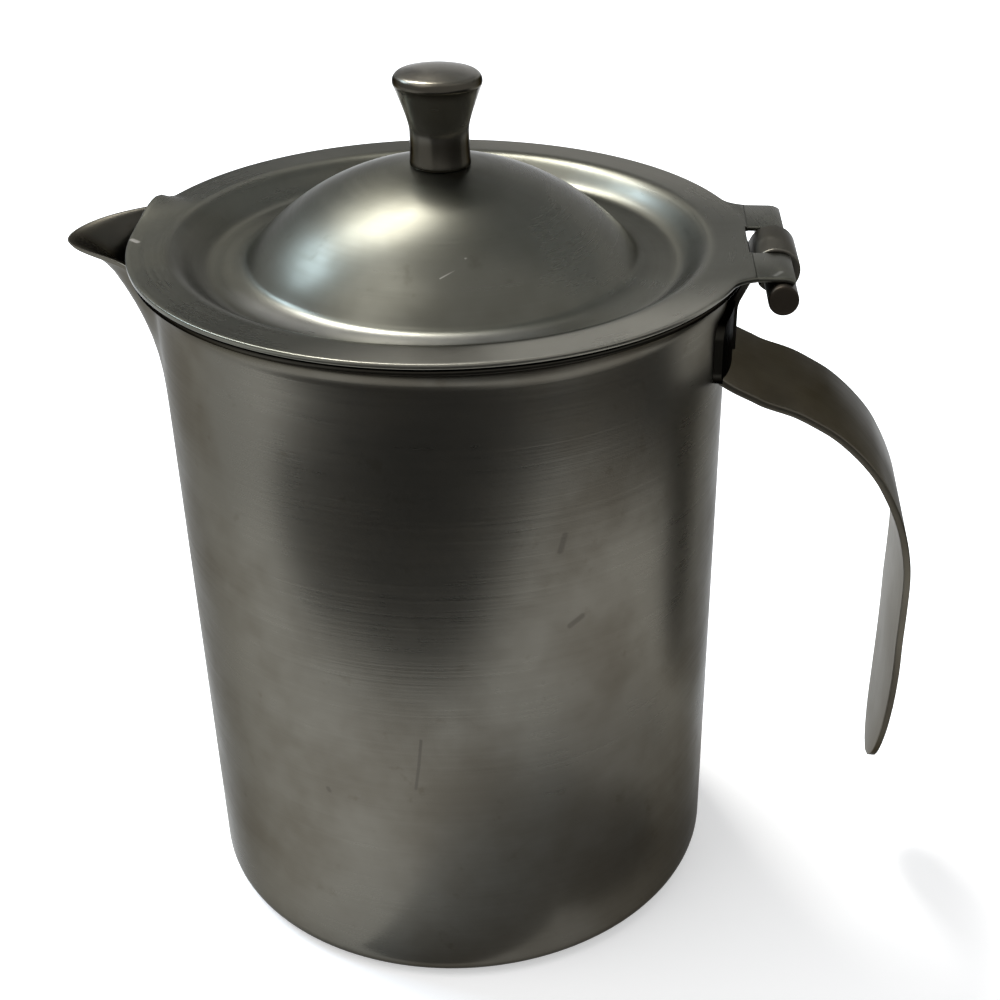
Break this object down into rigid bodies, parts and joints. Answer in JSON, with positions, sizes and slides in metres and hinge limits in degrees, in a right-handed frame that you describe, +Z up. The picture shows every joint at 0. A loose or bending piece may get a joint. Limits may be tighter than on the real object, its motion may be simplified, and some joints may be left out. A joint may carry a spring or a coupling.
{
  "type": "hot milk jug with hinged lid",
  "caption": "Straight-sided metal milk jug with a drawn-out pouring lip, a bent strap handle and a domed lid on a rear hinge, lifted by a turned knob.",
  "frame": {"origin": "centre of the round base, on the plane it stands on", "axes": "+Z up along the jug's axis, +X towards the hinge and handle, -X towards the spout, so +Y is the far side in the picture"},
  "size_m": [0.1352, 0.095, 0.14],
  "materials": {
    "body_steel": "satin, faintly brushed along the wall",
    "strap_steel": "satin with darkened cut edges",
    "pin_steel": "dull, cut ends",
    "lid_steel": "spun satin, fine rings",
    "knob_steel": "turned and polished",
    "fixing_steel": "bright"
  },
  "bodies": {
    "jug": {"vessel": "body_steel", "hinge_leaf": "body_steel", "handle": "strap_steel"},
    "lid": {"lid": "lid_steel", "hinge_pin": "pin_steel", "knob": "knob_steel", "knob_screw": "fixing_steel", "knob_washer": "fixing_steel"}
  },
  "joints": [
    {"name": "lid_hinge", "type": "hinge", "parent": "jug", "child": "lid", "pos_m": [0.05115, 0.00232, 0.1114], "axis": [-0.0454, 0.999, 0], "range_deg": [0, 110]}
  ]
}
